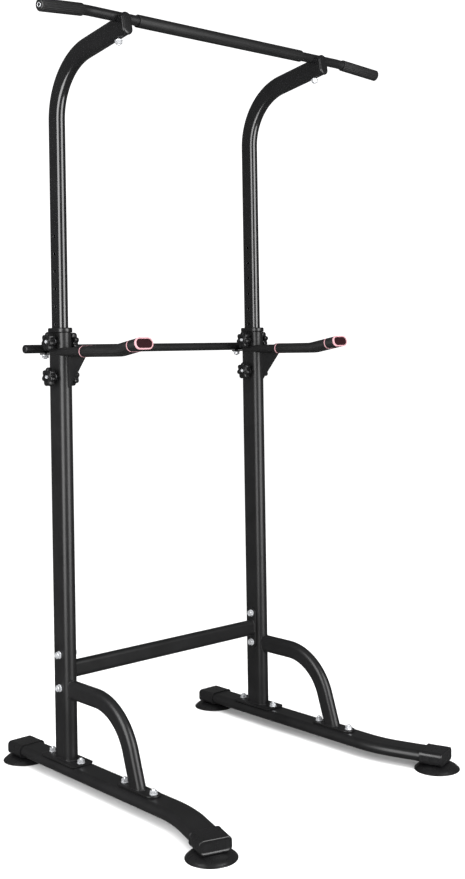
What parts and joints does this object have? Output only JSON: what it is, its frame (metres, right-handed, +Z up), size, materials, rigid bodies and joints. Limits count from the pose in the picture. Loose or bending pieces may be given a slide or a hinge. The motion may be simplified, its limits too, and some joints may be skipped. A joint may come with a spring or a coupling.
{
  "type": "power tower",
  "caption": "Free-standing power tower with height-adjustable pull-up bar, dip handles, rear bar and suction-footed floor rails.",
  "frame": {"origin": "middle of the footprint's bounding box, on the floor; the plane through the posts' axes is at Y = +0.235 m", "axes": "+Z up; the dip handles and the arms point to -Y, the front, and the rear bar is on the +Y side; left in a node's name is -X and right is +X"},
  "size_m": [1.2788, 1.04, 2.1245],
  "materials": {
    "satin_black_coat": "satin black powder coat on steel tube",
    "gloss_black_coat": "glossy black powder coat on steel tube",
    "black_plastic": "moulded black plastic with a fine grain",
    "black_rubber": "moulded black rubber, satin",
    "black_foam": "closed-cell black foam, matt with a fine grain",
    "pink_trim": "pale pink moulded trim, satin, with a dark red inset",
    "zinc_steel": "bright zinc-plated steel"
  },
  "bodies": {
    "base_frame": {"floor_rail_left": "satin_black_coat", "floor_rail_right": "satin_black_coat", "lower_post_left": "satin_black_coat", "lower_post_right": "satin_black_coat", "front_brace_left": "satin_black_coat", "front_brace_right": "satin_black_coat", "dip_handle_left": "satin_black_coat", "dip_handle_right": "satin_black_coat", "crossbar": "satin_black_coat", "rear_bar": "satin_black_coat", "rail_cap_front_left": "black_plastic", "rail_cap_front_right": "black_plastic", "rail_cap_rear_left": "black_plastic", "rail_cap_rear_right": "black_plastic", "post_collar_left": "black_plastic", "post_collar_right": "black_plastic", "rear_bar_plug_left": "black_plastic", "rear_bar_plug_right": "black_plastic", "suction_foot_front_left": "black_rubber", "suction_foot_front_right": "black_rubber", "suction_foot_rear_left": "black_rubber", "suction_foot_rear_right": "black_rubber", "dip_grip_left": "black_foam", "dip_grip_right": "black_foam", "dip_grip_cap_left": "pink_trim", "dip_grip_cap_right": "pink_trim", "rail_bolt_post_rear_left": "zinc_steel", "rail_bolt_post_rear_right": "zinc_steel", "rail_bolt_post_front_left": "zinc_steel", "rail_bolt_post_front_right": "zinc_steel", "rail_bolt_brace_rear_left": "zinc_steel", "rail_bolt_brace_rear_right": "zinc_steel", "rail_bolt_brace_front_left": "zinc_steel", "rail_bolt_brace_front_right": "zinc_steel", "crossbar_bolt_upper_left": "zinc_steel", "crossbar_bolt_upper_right": "zinc_steel", "crossbar_bolt_lower_left": "zinc_steel", "crossbar_bolt_lower_right": "zinc_steel", "rear_bar_bolt_left": "zinc_steel", "rear_bar_bolt_right": "zinc_steel"},
    "upper_frame": {"upper_post_left": "gloss_black_coat", "upper_post_right": "gloss_black_coat", "arm_cap_left": "black_plastic", "arm_cap_right": "black_plastic", "bar_bolt_left": "zinc_steel", "bar_bolt_right": "zinc_steel", "end_grip_left": "black_foam", "end_grip_right": "black_foam", "end_plug_left": "black_plastic", "end_plug_right": "black_plastic", "pull_up_bar": "satin_black_coat", "centre_grip": "black_foam"},
    "knob_lower_outer_left": {"knob_lower_outer_left": "black_plastic"},
    "knob_upper_outer_left": {"knob_upper_outer_left": "black_plastic"},
    "knob_lower_inner_left": {"knob_lower_inner_left": "black_plastic"},
    "knob_upper_inner_left": {"knob_upper_inner_left": "black_plastic"},
    "knob_lower_outer_right": {"knob_lower_outer_right": "black_plastic"},
    "knob_upper_outer_right": {"knob_upper_outer_right": "black_plastic"},
    "knob_lower_inner_right": {"knob_lower_inner_right": "black_plastic"},
    "knob_upper_inner_right": {"knob_upper_inner_right": "black_plastic"}
  },
  "joints": [
    {"name": "height_slide", "type": "slide", "parent": "base_frame", "child": "upper_frame", "axis": [0, 0, 1], "range_m": [-0.3, 0]},
    {"name": "knob_lower_outer_left_turn", "type": "hinge", "parent": "base_frame", "child": "knob_lower_outer_left", "pos_m": [-0.375, 0.235, 1.145], "axis": [1, 0, 0], "continuous": true},
    {"name": "knob_upper_outer_left_turn", "type": "hinge", "parent": "base_frame", "child": "knob_upper_outer_left", "pos_m": [-0.375, 0.235, 1.245], "axis": [1, 0, 0], "continuous": true},
    {"name": "knob_lower_inner_left_turn", "type": "hinge", "parent": "base_frame", "child": "knob_lower_inner_left", "pos_m": [-0.375, 0.235, 1.145], "axis": [1, 0, 0], "continuous": true},
    {"name": "knob_upper_inner_left_turn", "type": "hinge", "parent": "base_frame", "child": "knob_upper_inner_left", "pos_m": [-0.375, 0.235, 1.245], "axis": [1, 0, 0], "continuous": true},
    {"name": "knob_lower_outer_right_turn", "type": "hinge", "parent": "base_frame", "child": "knob_lower_outer_right", "pos_m": [0.375, 0.235, 1.145], "axis": [1, 0, 0], "continuous": true},
    {"name": "knob_upper_outer_right_turn", "type": "hinge", "parent": "base_frame", "child": "knob_upper_outer_right", "pos_m": [0.375, 0.235, 1.245], "axis": [1, 0, 0], "continuous": true},
    {"name": "knob_lower_inner_right_turn", "type": "hinge", "parent": "base_frame", "child": "knob_lower_inner_right", "pos_m": [0.375, 0.235, 1.145], "axis": [1, 0, 0], "continuous": true},
    {"name": "knob_upper_inner_right_turn", "type": "hinge", "parent": "base_frame", "child": "knob_upper_inner_right", "pos_m": [0.375, 0.235, 1.245], "axis": [1, 0, 0], "continuous": true}
  ]
}
